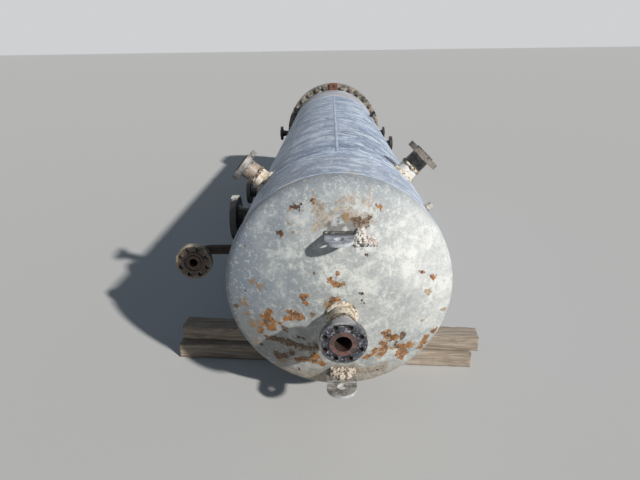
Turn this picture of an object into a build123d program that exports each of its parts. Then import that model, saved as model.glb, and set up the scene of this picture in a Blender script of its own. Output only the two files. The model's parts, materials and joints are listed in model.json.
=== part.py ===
"""Horizontal separator lying on timber bearers.

A steel pressure vessel with one dished head, plain flanged nozzles and a full
bore bolted closure at the far end. Millimetres, +Z up, +Y along the vessel
from the dished head to the closure. The origin is on the ground, under the
vessel's axis, at the front bearer.
"""
from math import asin, cos, pi, radians, sin, sqrt, tan
import os

from build123d import *

# Vessel body
shell_od = 1118.0
shell_wall = 25.0
first_course_length = 504.0
long_course_length = 3729.0
far_course_length = 667.0
head_seam_y = -466.0
head_straight = 45.0
head_crown_radius = 1118.0
head_knuckle_radius = 70.0

# Weld beads on the seams
bead_width = 18.0
bead_height = 3.0

# Bolted closure at the far end
hub_length = 200.0
hub_thickening = 8.0
closure_flange_width = 74.0
body_flange_thickness = 130.0
cover_thickness = 170.0
closure_edge_chamfer = 5.0
gasket_thickness = 4.5
gasket_width = 31.0
closure_stud_edge = 40.0
closure_stud_places = 32
closure_stud_diameter = 32.0
closure_hole_diameter = 35.0
closure_nut_across_flats = 50.0
closure_nut_height = 32.0
nut_chamfer_angle = 30.0
stud_thread_beyond_nut = 8.0

# Lug that takes the place of the top stud
closure_lug_width = 112.0
closure_lug_thickness = 20.0
closure_lug_reach = 16.0
closure_lug_hole = 30.0
closure_lug_hole_from_top = 41.0
closure_lug_hub_gap = 3.0

# Nozzle flanges, each with outside, pitch circle, bolt count, bolt hole,
# thickness, raised face, face height, hub, hub end, length and bore
flange_3 = dict(od=210.0, pcd=168.3, bolts=8, hole=22.4, thick=32.0, face_od=121.0,
                face=6.4, hub=114.0, hub_end=114.0, length=146.0, bore=76.0)
flange_3_short = dict(flange_3, length=116.0)
flange_4 = dict(od=273.0, pcd=216.0, bolts=8, hole=25.4, thick=38.0, face_od=157.0,
                face=6.4, hub=152.0, hub_end=114.0, length=80.0, bore=97.0)
flange_2 = dict(od=165.0, pcd=127.0, bolts=8, hole=19.0, thick=25.4, face_od=92.0,
                face=6.4, hub=84.0, hub_end=60.3, length=72.0, bore=49.0)
flange_1_quarter = dict(od=133.0, pcd=98.4, bolts=4, hole=19.0, thick=20.6, face_od=63.5,
                        face=6.4, hub=63.5, hub_end=42.2, length=66.0, bore=32.5)
flange_heavy_2 = dict(od=210.0, pcd=165.0, bolts=8, hole=25.4, thick=38.0, face_od=124.0,
                      face=7.9, hub=105.0, hub_end=60.3, length=102.0, bore=49.0)
flange_root_fillet = 5.0
ring_groove_pitch = 95.2
ring_groove_width = 11.9
ring_groove_depth = 7.9

# Nozzle on the dished head, square to the crown
head_nozzle_drop = 3.5
head_nozzle_aside = 0.6
head_nozzle_reach = 227.0
head_neck_od = 125.0

# Slanting nozzles on the upper shoulders, angles from straight up
shoulder_from_seam = 657.0
left_shoulder_angle = -50.3
right_shoulder_angle = 44.8
shoulder_stand_off = 179.0
shoulder_neck_od = 116.0

# Level nozzles on both sides, at one height above the axis; the far pair stands
# in line before the far seam
side_height = 130.0
left_stand_off = 86.0
far_left_stand_off = 98.0
right_stand_off = 66.0
left_outlet_from_seam = 667.0
left_branch_from_seam = 1270.0
right_branch_from_seam = 3240.0
far_pair_before_seam = 153.0

# Elbow nozzle, from the left side round to face the head
elbow_from_seam = 621.0
elbow_height = -65.0
elbow_stand_off = 284.0
elbow_bend_radius = 76.2
elbow_straight = 37.0
elbow_pipe_od = 60.3

# Small screwed fittings
coupling_from_seam = 135.0
coupling_angle = 52.5
coupling_od = 30.0
coupling_bore = 18.0
coupling_reach = 34.0
nipple_from_seam = 3450.0
nipple_angle = 45.0
nipple_od = 33.4
nipple_bore = 24.0
nipple_reach = 72.0

# Lifting lugs on the dished head: place across the vessel, height from its axis,
# width, and how far the hole stands out from the crown
top_lug_place = (0.0, 317.0, 130.0, 77.8)
bottom_lug_place = (12.0, -435.0, 145.0, 133.1)
lug_thickness = 16.0
lug_hole = 46.0

# Rough hardened deposits beside the lugs, as rounded masses: place across the
# vessel, height from its axis, distance out from the crown and radius
top_crust_lumps = [(98, 324, 5, 20), (89, 304, 7, 22), (112, 297, 6, 23), (134, 291, 4, 20),
                   (153, 283, 3, 17), (166, 276, 2, 12), (76, 284, 3, 14)]
bottom_crust_lumps = [(-30, -418, 14, 15), (-6, -418, 18, 16), (18, -417, 18, 16),
                      (42, -418, 18, 16), (62, -417, 16, 14), (-24, -419, 38, 15),
                      (-2, -418, 44, 17), (17, -419, 58, 14), (42, -418, 46, 17)]

# Timber bearers
upper_bearer_length = 1846.0
lower_bearer_length = 1820.0
bearer_depth = 135.0
bearer_height = 100.0
bedding_depth = 12.0
front_upper_x = -63.0
front_upper_y = 41.0
front_upper_yaw = -4.7
front_lower_x = -93.0
front_lower_yaw = -3.6
rear_bearer_past_far_seam = 167.0
rear_upper_x = 30.0
rear_lower_x = -30.0

# Worked out from the sizes above
shell_r = shell_od / 2
bore_r = shell_r - shell_wall
hub_r = shell_r + hub_thickening
closure_r = hub_r + closure_flange_width
stud_circle_r = closure_r - closure_stud_edge
shoulder_reach = shell_r + shoulder_stand_off
left_reach = shell_r + left_stand_off
far_left_reach = shell_r + far_left_stand_off
right_reach = shell_r + right_stand_off
elbow_centre_x = -(shell_r + elbow_stand_off)
stud_step = 360 / closure_stud_places
axis_z = 2 * bearer_height - bedding_depth + shell_r
course_seam_y = head_seam_y + first_course_length
far_seam_y = course_seam_y + long_course_length
shell_end_y = far_seam_y + far_course_length
flange_near_y = shell_end_y + hub_length
flange_far_y = flange_near_y + body_flange_thickness
cover_near_y = flange_far_y + gasket_thickness
cover_far_y = cover_near_y + cover_thickness
rear_bearer_y = far_seam_y + rear_bearer_past_far_seam
far_pair_from_seam = far_seam_y - far_pair_before_seam - head_seam_y
head_dish = head_crown_radius - sqrt(
    (head_crown_radius - head_knuckle_radius) ** 2 - (shell_r - head_knuckle_radius) ** 2)
crown_centre_y = head_seam_y - head_straight - head_dish + head_crown_radius
vessel_axis = Axis((0, 0, axis_z), (0, 1, 0))

# Necks are drawn from inside the plate and then cut back to its outside
neck_start = bore_r / 2
head_neck_start = head_crown_radius - shell_r / 2

y_dir = Vector(0, 1, 0)
left = Vector(-1, 0, 0)
right = Vector(1, 0, 0)
up = Vector(0, 0, 1)

os.makedirs("parts", exist_ok=True)


def save(part, name):
    """Name the finished piece and write it to its own file."""
    part.label = name
    export_step(part, f"parts/{name}.step")


def ring_plane(y):
    """Plane across the vessel at y, looking along the vessel, with its y axis down."""
    return Plane(origin=(0, y, axis_z), x_dir=(1, 0, 0), z_dir=(0, 1, 0))


def head_plane():
    """Profile plane of the dished head, with y pointing out of the vessel."""
    return Plane(origin=(0, head_seam_y, axis_z), x_dir=(1, 0, 0), z_dir=(0, 0, -1))


def along(origin, direction, side):
    """Profile plane with x as radius and y along the direction."""
    return Plane(origin=origin, x_dir=side, z_dir=side.cross(direction))


def shell_direction(angle):
    """Direction square to the shell at an angle from straight up."""
    return Vector(sin(radians(angle)), 0, cos(radians(angle)))


def y_side(direction):
    """Level direction across a nozzle, used as the zero of its bolt circle."""
    if abs(direction.dot(y_dir)) > 0.5:
        return up.cross(direction).normalized()
    return y_dir


def side_origin(from_seam, height):
    """Point on the vessel's middle plane that a side nozzle points away from."""
    return Vector(0, head_seam_y + from_seam, axis_z + height)


def head_outline(thickness):
    """Edges of the dish from the seam to the centre, at a depth under its outside."""
    centre_y = head_straight + head_dish - head_crown_radius
    lean = asin((shell_r - head_knuckle_radius) / (head_crown_radius - head_knuckle_radius))
    crown = head_crown_radius - thickness
    knuckle = head_knuckle_radius - thickness
    rim = (shell_r - thickness, head_straight)
    middle = (pi / 2 + lean) / 2
    knuckle_middle = (shell_r - head_knuckle_radius + knuckle * sin(middle),
                      head_straight + knuckle * cos(middle))
    joint = (crown * sin(lean), centre_y + crown * cos(lean))
    crown_middle = (crown * sin(lean / 2), centre_y + crown * cos(lean / 2))
    centre = (0, centre_y + crown)
    Line((shell_r - thickness, 0), rim)
    ThreePointArc(rim, knuckle_middle, joint)
    ThreePointArc(joint, crown_middle, centre)


def drill(origin, direction, length, diameter):
    """Round bar in the shape of a drilled hole, to be cut out of a plate."""
    with BuildPart() as bar:
        with BuildSketch(Plane(origin=origin, x_dir=y_side(direction), z_dir=direction)):
            Circle(diameter / 2)
        extrude(amount=length)
    return bar.part


def pipe_neck(origin, direction, start, end, od, bore, envelope):
    """Length of pipe from the vessel's outside to the flange, coped to the plate."""
    with BuildPart() as neck:
        with BuildSketch(Plane(origin=origin + direction * start, x_dir=y_side(direction),
                               z_dir=direction)):
            Circle(od / 2)
            Circle(bore / 2, mode=Mode.SUBTRACT)
        extrude(amount=end - start)
        add(envelope, mode=Mode.SUBTRACT)
    return neck.part


def weld_neck_flange(origin, direction, reach, size):
    """Flange with its raised face at the reach and its hub pointing back."""
    face_start = reach - size["face"]
    back = face_start - size["thick"]
    hub_start = reach - size["length"]
    with BuildPart() as flange:
        with BuildSketch(along(origin, direction, y_side(direction))) as profile:
            with BuildLine():
                Polyline((size["bore"] / 2, reach), (size["face_od"] / 2, reach),
                         (size["face_od"] / 2, face_start), (size["od"] / 2, face_start),
                         (size["od"] / 2, back), (size["hub"] / 2, back),
                         (size["hub_end"] / 2, hub_start), (size["bore"] / 2, hub_start),
                         close=True)
            make_face()
            root = profile.vertices().sort_by_distance((size["hub"] / 2, back))[0]
            fillet(root, radius=flange_root_fillet)
        revolve(axis=Axis(origin, direction))
        face_plane = Plane(origin=origin + direction * reach, x_dir=y_side(direction),
                           z_dir=direction)
        with BuildSketch(face_plane):
            with PolarLocations(size["pcd"] / 2, size["bolts"], start_angle=180 / size["bolts"]):
                Circle(size["hole"] / 2)
        extrude(amount=-(size["face"] + size["thick"]), mode=Mode.SUBTRACT)
    return flange.part


def shell_course(start_y, end_y, holes):
    """Rolled plate from one girth seam to the next, with the holes that land on it."""
    bars = [drill(origin, direction, shell_od, bore)
            for origin, direction, bore in holes if start_y < origin.Y < end_y]
    with BuildPart() as course:
        with BuildSketch(ring_plane(start_y)):
            Circle(shell_r)
            Circle(bore_r, mode=Mode.SUBTRACT)
        extrude(amount=end_y - start_y)
        for bar in bars:
            add(bar, mode=Mode.SUBTRACT)
    return course.part


def seam_bead(y):
    """Low ring of weld standing on the shell."""
    with BuildPart() as bead:
        with BuildSketch(along(Vector(0, y, axis_z), y_dir, right)):
            with BuildLine():
                ThreePointArc((shell_r, -bead_width / 2), (shell_r + bead_height, 0),
                              (shell_r, bead_width / 2))
                Line((shell_r, bead_width / 2), (shell_r, -bead_width / 2))
            make_face()
        revolve(axis=vessel_axis)
    return bead.part


def stud_places():
    """Places of the studs round the closure, leaving out the one at the top."""
    return PolarLocations(stud_circle_r, closure_stud_places - 1, start_angle=stud_step - 90,
                          angular_range=360 - stud_step)


def hexagon_nut(near_y):
    """Nut with chamfered corners at both ends, on the vessel's axis."""
    corner_r = closure_nut_across_flats / 2 / cos(radians(30))
    flat_r = closure_nut_across_flats / 2
    drop = (corner_r - flat_r) * tan(radians(nut_chamfer_angle))
    with BuildPart() as nut:
        with BuildSketch(ring_plane(near_y)):
            RegularPolygon(corner_r, 6)
        extrude(amount=closure_nut_height)
        with BuildSketch(along(Vector(0, near_y, axis_z), y_dir, right)):
            with BuildLine():
                Polyline((0, 0), (flat_r, 0), (corner_r, drop),
                         (corner_r, closure_nut_height - drop), (flat_r, closure_nut_height),
                         (0, closure_nut_height), close=True)
            make_face()
        revolve(axis=vessel_axis, mode=Mode.INTERSECT)
    return nut.part


def crown_y(x, height):
    """Where the outside of the crown is, at a place across the vessel and a height from its axis."""
    return crown_centre_y - sqrt(head_crown_radius ** 2 - x ** 2 - height ** 2)


def lifting_lug(place):
    """Flat plate with a round end and a hole, standing out of the head."""
    x, height, width, hole_out = place
    hole_y = crown_y(x, height) - hole_out
    hole_from_seam = head_seam_y - hole_y
    with BuildPart() as lug:
        with BuildSketch(Plane.XY.offset(axis_z + height - lug_thickness / 2)):
            with Locations((x, hole_y)):
                Circle(width / 2)
            with Locations((x, hole_y + hole_from_seam / 2)):
                Rectangle(width, hole_from_seam)
            with Locations((x, hole_y)):
                Circle(lug_hole / 2, mode=Mode.SUBTRACT)
        extrude(amount=lug_thickness)
        add(head_solid.part, mode=Mode.SUBTRACT)
    return lug.part


def crust(lumps, lug):
    """Hardened deposit made of rounded masses, trimmed to the head and the lug."""
    with BuildPart() as deposit:
        for x, height, out, radius in lumps:
            with Locations((x, crown_y(x, height) - out, axis_z + height)):
                Sphere(radius)
        add(head_solid.part, mode=Mode.SUBTRACT)
        add(lug, mode=Mode.SUBTRACT)
    return deposit.part


def bearer(x, y, level, length, yaw):
    """Rough sawn timber lying across the vessel, hollowed where the shell beds in."""
    turned = Plane(origin=(x, y, level), x_dir=(cos(radians(yaw)), sin(radians(yaw)), 0))
    with BuildPart() as timber:
        with BuildSketch(turned):
            Rectangle(length, bearer_depth)
        extrude(amount=bearer_height)
        add(shell_solid.part, mode=Mode.SUBTRACT)
        add(course_bead, mode=Mode.SUBTRACT)
    return timber.part


# Solid outlines of the head and the shell, which the fittings are cut to
with BuildPart() as head_solid:
    with BuildSketch(head_plane()):
        with BuildLine():
            head_outline(0)
            Line((0, head_straight + head_dish), (0, -shell_r))
            Line((0, -shell_r), (shell_r, -shell_r))
            Line((shell_r, -shell_r), (shell_r, 0))
        make_face()
    revolve(axis=vessel_axis)

with BuildPart() as shell_solid:
    with BuildSketch(ring_plane(head_seam_y)):
        Circle(shell_r)
    extrude(amount=shell_end_y - head_seam_y)

# Where each nozzle points away from, its direction, reach, flange and neck
nozzles = {
    "left_shoulder": (side_origin(shoulder_from_seam, 0), shell_direction(left_shoulder_angle),
                      shoulder_reach, flange_3_short, shoulder_neck_od),
    "right_shoulder": (side_origin(shoulder_from_seam, 0), shell_direction(right_shoulder_angle),
                       shoulder_reach, flange_3_short, shoulder_neck_od),
    "left_outlet": (side_origin(left_outlet_from_seam, side_height), left,
                    left_reach, flange_4, flange_4["hub_end"]),
    "left_branch": (side_origin(left_branch_from_seam, side_height), left,
                    left_reach, flange_2, flange_2["hub_end"]),
    "far_left": (side_origin(far_pair_from_seam, side_height), left,
                 far_left_reach, flange_2, flange_2["hub_end"]),
    "right_branch": (side_origin(right_branch_from_seam, side_height), right,
                     right_reach, flange_2, flange_2["hub_end"]),
    "far_right": (side_origin(far_pair_from_seam, side_height), right,
                  right_reach, flange_1_quarter, flange_1_quarter["hub_end"]),
}

# The same for the screwed fittings, with their outside and bore
small_fittings = {
    "side_coupling": (side_origin(coupling_from_seam, 0), shell_direction(coupling_angle),
                      coupling_reach, coupling_od, coupling_bore),
    "far_nipple": (side_origin(nipple_from_seam, 0), shell_direction(nipple_angle),
                   nipple_reach, nipple_od, nipple_bore),
}
elbow_origin = side_origin(elbow_from_seam, elbow_height)
head_direction = Vector(sin(radians(head_nozzle_aside)), -cos(radians(head_nozzle_drop)),
                        -sin(radians(head_nozzle_drop))).normalized()
head_nozzle_origin = Vector(0, crown_centre_y, axis_z)
head_nozzle_length = head_crown_radius + head_nozzle_reach

# Dished head, with the hole for its nozzle
head_hole = drill(head_nozzle_origin, head_direction, head_nozzle_length, flange_3["bore"])
with BuildPart() as near_head:
    with BuildSketch(head_plane()):
        with BuildLine():
            head_outline(0)
            head_outline(shell_wall)
            Line((0, head_straight + head_dish), (0, head_straight + head_dish - shell_wall))
            Line((shell_r, 0), (bore_r, 0))
        make_face()
    revolve(axis=vessel_axis)
    add(head_hole, mode=Mode.SUBTRACT)
save(near_head.part, "near_head")

# Shell courses and the seams between them
shell_holes = [(origin, direction, size["bore"])
               for origin, direction, reach, size, neck_od in nozzles.values()]
shell_holes += [(origin, direction, bore)
                for origin, direction, reach, od, bore in small_fittings.values()]
shell_holes.append((elbow_origin, left, flange_heavy_2["bore"]))
save(shell_course(head_seam_y, course_seam_y, shell_holes), "first_course")
save(shell_course(course_seam_y, far_seam_y, shell_holes), "long_course")
save(shell_course(far_seam_y, shell_end_y, shell_holes), "far_course")

course_bead = seam_bead(course_seam_y)
save(seam_bead(head_seam_y), "head_seam_weld")
save(course_bead, "course_seam_weld")
save(seam_bead(far_seam_y), "far_seam_weld")

# Seam along the top of the long course
with BuildPart() as long_seam_weld:
    with BuildSketch(ring_plane(course_seam_y + bead_width / 2)):
        Rectangle(bead_width, 2 * (shell_r + bead_height))
        Circle(shell_r, mode=Mode.SUBTRACT)
        with Locations((0, shell_r)):
            Rectangle(2 * bead_width, 2 * shell_r, mode=Mode.SUBTRACT)
    extrude(amount=long_course_length - bead_width)
save(long_seam_weld.part, "long_seam_weld")

# Hub and flange that carry the closure
with BuildPart() as body_flange:
    with BuildSketch(along(Vector(0, 0, axis_z), y_dir, right)):
        with BuildLine():
            Polyline((bore_r, shell_end_y), (shell_r, shell_end_y), (hub_r, flange_near_y),
                     (closure_r - closure_edge_chamfer, flange_near_y),
                     (closure_r, flange_near_y + closure_edge_chamfer),
                     (closure_r, flange_far_y), (bore_r, flange_far_y), close=True)
        make_face()
    revolve(axis=vessel_axis)
    with BuildSketch(ring_plane(flange_near_y)):
        with stud_places():
            Circle(closure_hole_diameter / 2)
    extrude(amount=body_flange_thickness, mode=Mode.SUBTRACT)
save(body_flange.part, "body_flange")

with BuildPart() as closure_gasket:
    with BuildSketch(ring_plane(flange_far_y)):
        Circle(bore_r + gasket_width)
        Circle(bore_r, mode=Mode.SUBTRACT)
    extrude(amount=gasket_thickness)
save(closure_gasket.part, "closure_gasket")

# Flat cover over the full bore, with a chamfered outer edge
with BuildPart() as closure_cover:
    with BuildSketch(along(Vector(0, 0, axis_z), y_dir, right)):
        with BuildLine():
            Polyline((0, cover_near_y), (closure_r, cover_near_y),
                     (closure_r, cover_far_y - closure_edge_chamfer),
                     (closure_r - closure_edge_chamfer, cover_far_y), (0, cover_far_y),
                     close=True)
        make_face()
    revolve(axis=vessel_axis)
    with BuildSketch(ring_plane(cover_near_y)):
        with stud_places():
            Circle(closure_hole_diameter / 2)
    extrude(amount=cover_thickness, mode=Mode.SUBTRACT)
save(closure_cover.part, "closure_cover")

# One stud with a nut at each end, and then one at each place, drawn up to both flanges
stud_near_y = flange_near_y - closure_nut_height - stud_thread_beyond_nut
stud_far_y = cover_far_y + closure_nut_height + stud_thread_beyond_nut
near_nut = hexagon_nut(flange_near_y - closure_nut_height)
far_nut = hexagon_nut(cover_far_y)
with BuildPart() as stud_set:
    with BuildSketch(ring_plane(stud_near_y)):
        Circle(closure_stud_diameter / 2)
    extrude(amount=stud_far_y - stud_near_y)
    add(near_nut)
    add(far_nut)
centred_set = stud_set.part.moved(Location(ring_plane(0)).inverse())
with BuildPart(ring_plane(0)) as closure_studs:
    with stud_places():
        add(centred_set)
save(closure_studs.part, "closure_studs")

# Lug on the near face of the closure, where the top stud would be
lug_foot = hub_r + closure_lug_hub_gap
lug_top = closure_r + closure_lug_reach
with BuildPart() as closure_lug:
    with BuildSketch(ring_plane(flange_near_y - closure_lug_thickness)):
        with Locations((0, -(lug_foot + lug_top) / 2)):
            Rectangle(closure_lug_width, lug_top - lug_foot)
        with Locations((0, closure_lug_hole_from_top - lug_top)):
            Circle(closure_lug_hole / 2, mode=Mode.SUBTRACT)
    extrude(amount=closure_lug_thickness)
save(closure_lug.part, "closure_lug")

# Nozzle necks and flanges
for name, (origin, direction, reach, size, neck_od) in nozzles.items():
    neck_end = reach - size["length"]
    save(pipe_neck(origin, direction, neck_start, neck_end, neck_od, size["bore"],
                   shell_solid.part), f"{name}_neck")
    save(weld_neck_flange(origin, direction, reach, size), f"{name}_flange")

head_neck_end = head_nozzle_length - flange_3["length"]
save(pipe_neck(head_nozzle_origin, head_direction, head_neck_start, head_neck_end, head_neck_od,
               flange_3["bore"], head_solid.part), "head_nozzle_neck")
save(weld_neck_flange(head_nozzle_origin, head_direction, head_nozzle_length, flange_3),
     "head_nozzle_flange")

# Elbow nozzle: pipe out of the side, a quarter bend, and a flange facing the head,
# with a groove for a metal ring in its raised face
bend_start_x = elbow_centre_x + elbow_bend_radius
elbow_face_reach = elbow_bend_radius + elbow_straight + flange_heavy_2["length"]
elbow_z = axis_z + elbow_height
with BuildPart() as elbow_pipe:
    with BuildLine():
        bend_end = (elbow_centre_x, elbow_origin.Y - elbow_bend_radius, elbow_z)
        pipe_end = (elbow_centre_x, bend_end[1] - elbow_straight, elbow_z)
        Line((-neck_start, elbow_origin.Y, elbow_z), (bend_start_x, elbow_origin.Y, elbow_z))
        TangentArc((bend_start_x, elbow_origin.Y, elbow_z), bend_end, tangent=(-1, 0, 0))
        Line(bend_end, pipe_end)
    with BuildSketch(Plane(origin=(-neck_start, elbow_origin.Y, elbow_z), x_dir=(0, 1, 0),
                           z_dir=(-1, 0, 0))):
        Circle(elbow_pipe_od / 2)
        Circle(flange_heavy_2["bore"] / 2, mode=Mode.SUBTRACT)
    sweep()
    add(shell_solid.part, mode=Mode.SUBTRACT)
save(elbow_pipe.part, "elbow_pipe")

bend_centre = Vector(elbow_centre_x, elbow_origin.Y, elbow_z)
plain_flange = weld_neck_flange(bend_centre, -y_dir, elbow_face_reach, flange_heavy_2)
with BuildPart() as elbow_flange:
    add(plain_flange)
    with BuildSketch(Plane(origin=bend_centre - y_dir * elbow_face_reach, x_dir=right,
                           z_dir=y_dir)):
        Circle((ring_groove_pitch + ring_groove_width) / 2)
        Circle((ring_groove_pitch - ring_groove_width) / 2, mode=Mode.SUBTRACT)
    extrude(amount=ring_groove_depth, mode=Mode.SUBTRACT)
save(elbow_flange.part, "elbow_flange")

# Screwed fittings on the shell
for name, (origin, direction, reach, od, bore) in small_fittings.items():
    save(pipe_neck(origin, direction, neck_start, shell_r + reach, od, bore,
                   shell_solid.part), name)

# Lifting lugs on the head and the deposits on them
top_lug = lifting_lug(top_lug_place)
bottom_lug = lifting_lug(bottom_lug_place)
save(top_lug, "top_lug")
save(bottom_lug, "bottom_lug")
save(crust(top_crust_lumps, top_lug), "top_crust")
save(crust(bottom_crust_lumps, bottom_lug), "bottom_crust")

# Two crossed pairs of timber bearers
front_lower_y = front_lower_x * sin(radians(front_lower_yaw))
save(bearer(front_lower_x, front_lower_y, 0, lower_bearer_length, front_lower_yaw),
     "front_lower_bearer")
save(bearer(front_upper_x, front_upper_y, bearer_height, upper_bearer_length, front_upper_yaw),
     "front_upper_bearer")
save(bearer(rear_lower_x, rear_bearer_y, 0, lower_bearer_length, 0), "rear_lower_bearer")
save(bearer(rear_upper_x, rear_bearer_y, bearer_height, upper_bearer_length, 0),
     "rear_upper_bearer")
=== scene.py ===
import json
from math import atan2, cos, floor, pi, radians, sin, sqrt
from random import Random

import bmesh
import bpy
from mathutils import Matrix, Vector, noise


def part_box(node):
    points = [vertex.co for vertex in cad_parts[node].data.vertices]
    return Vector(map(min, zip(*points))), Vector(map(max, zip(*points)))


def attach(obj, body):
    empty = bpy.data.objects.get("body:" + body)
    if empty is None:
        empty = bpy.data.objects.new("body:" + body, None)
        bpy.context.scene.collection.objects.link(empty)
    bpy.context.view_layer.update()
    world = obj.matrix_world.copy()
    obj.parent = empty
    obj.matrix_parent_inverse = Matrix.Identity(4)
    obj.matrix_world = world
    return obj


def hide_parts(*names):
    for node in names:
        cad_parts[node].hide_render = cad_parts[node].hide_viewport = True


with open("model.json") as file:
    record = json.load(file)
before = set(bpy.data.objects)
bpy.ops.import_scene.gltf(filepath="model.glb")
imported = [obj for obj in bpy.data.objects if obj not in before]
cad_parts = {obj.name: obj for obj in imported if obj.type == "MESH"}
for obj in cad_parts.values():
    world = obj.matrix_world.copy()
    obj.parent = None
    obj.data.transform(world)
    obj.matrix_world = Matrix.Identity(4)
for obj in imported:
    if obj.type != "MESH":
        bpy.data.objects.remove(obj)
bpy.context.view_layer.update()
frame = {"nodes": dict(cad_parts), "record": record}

scene = bpy.context.scene

# Camera of the photo
CAMERA_PLACE = (-0.0321, -2.8455, 1.8460)
CAMERA_YAW = 1.392
CAMERA_TILT = 20.219
CAMERA_ROLL = -0.815
CAMERA_LENS = 29.14
SENSOR_WIDTH = 36.0
CAMERA_REACH = 2000.0

# Light and floor
SUN_TRAVEL = (-1.278, 1.34, -1.0)
SUN_STRENGTH = 4.9
SUN_COLOUR = (1.0, 0.965, 0.915)
SUN_SPREAD = 2.0
SKY_STRENGTH = 0.17
SKY_COLOUR = (0.62, 0.80, 1.0)
BACKGROUND_COLOUR = (0.62, 0.63, 0.64)
FLOOR_COLOUR = (0.50, 0.50, 0.495)
FLOOR_RADIUS = 700.0
FLOOR_CORNERS = 180

# Sizes of the vessel, from the frame
near_head_low, near_head_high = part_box("near_head")
long_low, long_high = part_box("long_course")
SHELL_R = (long_high[0] - long_low[0]) / 2
AXIS_Z = (long_high[2] + long_low[2]) / 2
HEAD_SEAM_Y = near_head_high[1]
COURSE_SEAM_Y = long_low[1]
FAR_SEAM_Y = long_high[1]
BODY_FLANGE_THICKNESS = 0.130
CLOSURE_NEAR_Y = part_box("body_flange")[1][1] - BODY_FLANGE_THICKNESS
CLOSURE_FAR_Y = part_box("closure_cover")[1][1]

# Crown of the dished head
CROWN_R = 2 * SHELL_R
CROWN_CENTRE_Y = near_head_low[1] + CROWN_R

# Closure bolting
STUD_PLACES = 32
STUD_CIRCLE_R = 0.601
STUD_R = 0.016
STUD_SIDES = 20
THREAD_PITCH = 0.0032
THREAD_DEPTH = 0.0014
THREAD_STEPS = 4
NUT_FLAT_R = 0.025
NUT_HEIGHT = 0.032
NUT_CHAMFER = 0.577
NUT_TOP_R = NUT_FLAT_R * 0.98
NUT_SIDES = 36
SHARP_FROM = 28

# Sizes by nozzle: radius of raised face, bore, rim, hub end and neck, and flange length
SHOULDER_SIZES = (0.0605, 0.038, 0.105, 0.057, 0.058, 0.116)
BRANCH_SIZES = (0.046, 0.0245, 0.0825, 0.03015, 0.03015, 0.072)
NOZZLES = {
    "head_nozzle": ("head_nozzle", 0.0605, 0.038, 0.105, 0.057, 0.0625, 0.146),
    "left_shoulder_nozzle": ("left_shoulder", *SHOULDER_SIZES),
    "right_shoulder_nozzle": ("right_shoulder", *SHOULDER_SIZES),
    "left_outlet": ("left_outlet", 0.0785, 0.0485, 0.1365, 0.057, 0.057, 0.080),
    "left_branch": ("left_branch", *BRANCH_SIZES),
    "far_left_nozzle": ("far_left", *BRANCH_SIZES),
    "right_branch": ("right_branch", *BRANCH_SIZES),
    "far_right_nozzle": ("far_right", 0.03175, 0.01625, 0.0665, 0.0211, 0.0211, 0.066),
    "elbow_nozzle": ("elbow", 0.062, 0.0245, 0.105, 0.03015, 0.03015, 0.102),
}
SHOULDERS = ("left_shoulder_nozzle", "right_shoulder_nozzle")
FACE_HEIGHT = 0.0064
mounts = {mount["name"]: mount for mount in frame["record"]["mounts"]}

ALONG = Vector((0, 1, 0))
UP = Vector((0, 0, 1))
LEFT = Vector((-1, 0, 0))


def on_axis(y):
    return Vector((0, y, AXIS_Z))


CROWN_CENTRE = on_axis(CROWN_CENTRE_Y)


def linear(colour):
    """Colour as it is seen on a screen, from 0 to 255, in linear light; a socket stays as it is."""
    def channel(value):
        value /= 255
        return value / 12.92 if value <= 0.04045 else ((value + 0.055) / 1.055) ** 2.4
    if isinstance(colour, bpy.types.NodeSocket):
        return colour
    return (*map(channel, colour), 1.0)


def fill_inputs(tree, node, inputs):
    """Link each named input of a node to another socket, or set its plain value."""
    for key, value in inputs.items():
        if isinstance(value, bpy.types.NodeSocket):
            tree.links.new(value, node.inputs[key])
        else:
            node.inputs[key].default_value = value


def add_node(tree, kind, inputs, **settings):
    made = tree.nodes.new("ShaderNode" + kind)
    for name, value in settings.items():
        setattr(made, name, value)
    fill_inputs(tree, made, inputs)
    return made


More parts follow.
